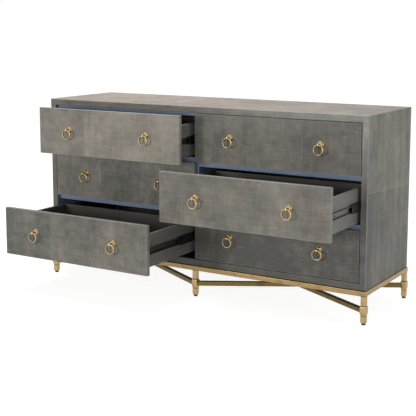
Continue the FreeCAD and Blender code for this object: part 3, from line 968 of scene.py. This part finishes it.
# Two crossed pairs of bars: one bar of each pair is whole, the other meets it from both sides
def makeStretchers(look):
    low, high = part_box("legs")
    span = (high - low) / 2 - Vector((look["collarHalf"], look["collarHalf"], 0))
    middle = (low + high) / 2
    half = look["stretcher"] / 2
    section = roundedSquare(half, look["corner"])
    bm = bmesh.new()

    def addBar(start, finish, cutFinish=None):
        along = (finish - start).normalized()
        across = along.cross(Vector((0, 0, 1)))
        rings = []
        for end in (start, finish):
            ring = [end + across * out + Vector((0, 0, up)) for out, up in section]
            if cutFinish is not None and end is finish:
                point, normal = cutFinish
                ring = [spot + along * ((point - spot).dot(normal) / along.dot(normal)) for spot in ring]
            rings.append(ring)
        addLoft(bm, rings)

    inset = look["stretcherInset"]
    for side in (-1, 0):
        frontLeft = Vector((middle.x + side * span.x, middle.y - span.y, look["stretcherZ"]))
        rearRight = frontLeft + Vector((span.x, 2 * span.y, 0))
        rearLeft = frontLeft + Vector((0, 2 * span.y, 0))
        frontRight = frontLeft + Vector((span.x, 0, 0))
        along = (rearRight - frontLeft).normalized()
        addBar(frontLeft + along * inset, rearRight - along * inset)
        across = along.cross(Vector((0, 0, 1)))
        crossing = (frontLeft + rearRight) / 2
        for end in (frontRight, rearLeft):
            near = across if (end - crossing).dot(across) > 0 else -across
            inwards = (crossing - end).normalized()
            addBar(end + inwards * inset, crossing, (crossing + near * half, near))
    bars = putPiece("crossed_stretchers", meshOf("crossed_stretchers", bm, shadedBrass), "carcass")
    flatten(bars)
    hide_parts("cross_stretchers")


glideSettings = {"radius": 0.009, "flat": 0.0035, "rounding": 0.0025, "turns": 32}


def makeGlides(look):
    low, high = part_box("floor_glides")
    middle = (low + high) / 2
    reach = (high - low) / 2 - Vector((look["radius"], look["radius"], 0))
    rounding = look["rounding"]
    outline = [(look["flat"], low.z)]
    for turn in range(0, 91, 15):
        angle = math.radians(turn)
        radius = look["radius"] - rounding + rounding * math.sin(angle)
        outline.append((radius, low.z + rounding * (1 - math.cos(angle))))
    outline.append((look["radius"], high.z))
    bm = bmesh.new()
    for sideY in (-1, 1):
        for sideX in (-1, 0, 1):
            place = Matrix.Translation((middle.x + sideX * reach.x, middle.y + sideY * reach.y, 0))
            addTurned(bm, outline, look["turns"], place)
    glides = putPiece("foot_glides", meshOf("foot_glides", bm, glideBlack), "carcass")
    glides.data.set_sharp_from_angle(angle=math.radians(40))
    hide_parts("floor_glides")


makeBaseFrame(baseSettings)
makeLegs(baseSettings)
makeStretchers(baseSettings)
makeGlides(glideSettings)
print("metal base made")

# Screws

screwSettings = {
    "head": 0.0038, "rise": 0.0016, "crown": 0.65, "turns": 20,
    "cross": (0.00418, 0.0009, 0.00036),  # length, width and depth of each cut
}


# Pan head with a cross cut in it, facing along +Z from its seat
def makeScrewMesh(name, look, metal):
    bm = bmesh.new()
    outline = [(look["head"], 0.0)]
    crown = look["crown"]
    for turn in range(0, 76, 15):
        angle = math.radians(turn)
        radius = look["head"] * (1 - crown + crown * math.cos(angle))
        outline.append((radius, look["rise"] * (1 - crown + crown * math.sin(angle))))
    addTurned(bm, outline, look["turns"])
    for turn in (0, 90):
        spin = Matrix.Rotation(math.radians(turn), 4, "Z")
        top = Matrix.Translation((0, 0, look["rise"]))
        made = bmesh.ops.create_cube(bm, size=1.0, matrix=top @ spin @ Matrix.Diagonal((*look["cross"], 1)))
        for vert in made["verts"]:
            for face in vert.link_faces:
                face.material_index = 1
    mesh = meshOf(name, bm, metal, slideSteel)
    mesh.set_sharp_from_angle(angle=math.radians(40))
    return mesh


slideScrewMesh = makeScrewMesh("slide_screw", screwSettings, screwBlack)
backScrewMesh = makeScrewMesh("back_screw", screwSettings, screwZinc)
slideScrews = {"from": 0.030, "step": 0.128, "count": 3, "metal": 0.0012}


def makeSlideScrews(look):
    for tag in drawerTags:
        low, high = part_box(f"{tag}_drawer_slides")
        height = (low.z + high.z) / 2
        boxLow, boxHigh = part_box(f"{tag}_drawer_box")
        metal = look["metal"]
        for hand, seat, turn in (("left", boxLow.x - metal, -90), ("right", boxHigh.x + metal, 90)):
            for index in range(look["count"]):
                place = (seat, low.y + look["from"] + index * look["step"], height)
                name = f"{tag}_{hand}_slide_screw_{index + 1}"
                screw = putPiece(name, slideScrewMesh, f"{tag}_drawer", place)
                screw.rotation_euler = (0, math.radians(turn), 0)


backScrews = {"edge": 0.016, "columns": 7, "rows": 3}


# Along the edges of the back board, and up the middle into the partition
def makeBackScrews(look):
    low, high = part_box("back_panel")
    width = high.x - low.x - 2 * look["edge"]
    height = high.z - low.z - 2 * look["edge"]
    for column in range(look["columns"]):
        for row in range(look["rows"]):
            atSide = column in (0, look["columns"] // 2, look["columns"] - 1)
            if row not in (0, look["rows"] - 1) and not atSide:
                continue
            x = low.x + look["edge"] + width * column / (look["columns"] - 1)
            z = low.z + look["edge"] + height * row / (look["rows"] - 1)
            name = f"back_screw_{column + 1}_{row + 1}"
            screw = putPiece(name, backScrewMesh, "carcass", (x, high.y, z))
            screw.rotation_euler = (math.radians(-90), 0, 0)


makeSlideScrews(slideScrews)
makeBackScrews(backScrews)
print("screws made")

# Slide stops

stopSettings = {
    "deep": 0.0032, "web": 0.0015, "lip": 0.0112, "half": 0.0179, "inside": 0.0028, "gap": 0.0133,
    "easing": 0.0003,
}


# Black end caps of the middle slide members, open towards the drawer
def makeStops(look):
    web, lip, half = look["web"], look["lip"], look["half"]
    inside, gap = look["inside"], look["gap"]
    section = [(web, -half), (lip, -half), (lip, -gap), (inside, -gap)]
    section += [(x, -z) for x, z in reversed(section)]
    for tag in drawerTags:
        low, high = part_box(f"{tag}_middle_slides")
        middle = (low.z + high.z) / 2
        for hand, wall, side in (("left", low.x - web, 1), ("right", high.x + web, -1)):
            bm = bmesh.new()
            rings = []
            for depth in (0.0, look["deep"]):
                rings.append([Vector((wall + side * x, low.y - depth, middle + z)) for x, z in section])
            addLoft(bm, rings)
            bmesh.ops.recalc_face_normals(bm, faces=bm.faces)
            outward = [edge for edge in bm.edges if edge.is_convex]
            bmesh.ops.bevel(bm, geom=outward, offset=look["easing"], segments=2, profile=0.5, affect="EDGES")
            name = f"{tag}_{hand}_slide_stop"
            stop = putPiece(name, meshOf(name, bm, glideBlack), f"{tag}_middle_members")
            flatten(stop)


makeStops(stopSettings)
print("slide stops made")

# Floor, world and lamps

stageSettings = {
    "half": 14.0, "floorColour": (0.45, 0.45, 0.45), "ambient": 0.12,
    "nearGlow": 0.88, "farGlow": 1.0, "glowFrom": 1.2, "glowTo": 3.6,
}


# Whether a ray comes from the camera, or by way of gloss or glass
def seenDirectly(tree):
    path = step(tree, "ShaderNodeLightPath").outputs
    seen = sums(tree, "MAXIMUM", path["Is Camera Ray"], path["Is Glossy Ray"])
    return sums(tree, "MAXIMUM", seen, path["Is Transmission Ray"])


def makeFloor(look):
    bm = bmesh.new()
    bmesh.ops.create_grid(bm, x_segments=1, y_segments=1, size=look["half"])
    mesh = bpy.data.meshes.new("floor")
    bm.to_mesh(mesh)
    bm.free()
    floor = bpy.data.objects.new("floor", mesh)
    scene.collection.objects.link(floor)
    material, tree, shader = newMaterial("pale_floor")
    tree.nodes.remove(shader)
    matt = step(tree, "ShaderNodeBsdfDiffuse", {"Color": (*look["floorColour"], 1)})
    away = step(tree, "ShaderNodeVectorMath", {0: objectSpot(tree)}, operation="LENGTH").outputs["Value"]
    strength = ease(tree, away, look["glowFrom"], look["glowTo"], look["nearGlow"], look["farGlow"])
    strength = sums(tree, "MULTIPLY", seenDirectly(tree), strength)
    glow = step(tree, "ShaderNodeEmission", {"Strength": strength})
    both = step(tree, "ShaderNodeAddShader", {0: matt.outputs[0], 1: glow.outputs[0]})
    tree.links.new(both.outputs[0], tree.nodes["Material Output"].inputs["Surface"])
    mesh.materials.append(material)


def makeWorld(look):
    world = bpy.data.worlds.new("studio")
    world.use_nodes = True
    tree = world.node_tree
    background = tree.nodes["Background"]
    background.inputs["Color"].default_value = (1, 1, 1, 1)
    strength = between(tree, seenDirectly(tree), look["ambient"], 1.0)
    tree.links.new(strength, background.inputs["Strength"])
    scene.world = world


lamps = {
    "overhead": {"place": (-0.6, 0.5, 3.3), "aim": (0.0, 0.25, 0.7), "size": (2.8, 1.8), "power": 84},
    "front_left": {"place": (-1.9, -4.8, 1.15), "aim": (0.0, 0.0, 0.45), "size": (1.0, 1.0), "power": 79},
    "front_right": {"place": (2.1, -4.8, 1.15), "aim": (0.0, 0.0, 0.45), "size": (1.6, 1.4), "power": 63},
    "right": {"place": (4.5, 0.0, 1.4), "aim": (0.5, 0.1, 0.45), "size": (2.2, 1.8), "power": 42},
}


def addLamp(name, look):
    data = bpy.data.lights.new(name, "AREA")
    data.shape = "RECTANGLE"
    data.size, data.size_y = look["size"]
    data.energy = look["power"]
    lamp = bpy.data.objects.new(name, data)
    lamp.location = look["place"]
    aim = Vector(look["aim"]) - Vector(look["place"])
    lamp.rotation_euler = aim.to_track_quat("-Z", "Y").to_euler()
    scene.collection.objects.link(lamp)


makeFloor(stageSettings)
makeWorld(stageSettings)
for lampName, lampLook in lamps.items():
    addLamp(lampName, lampLook)
scene.view_settings.view_transform = "Standard"
print("stage and lamps set")
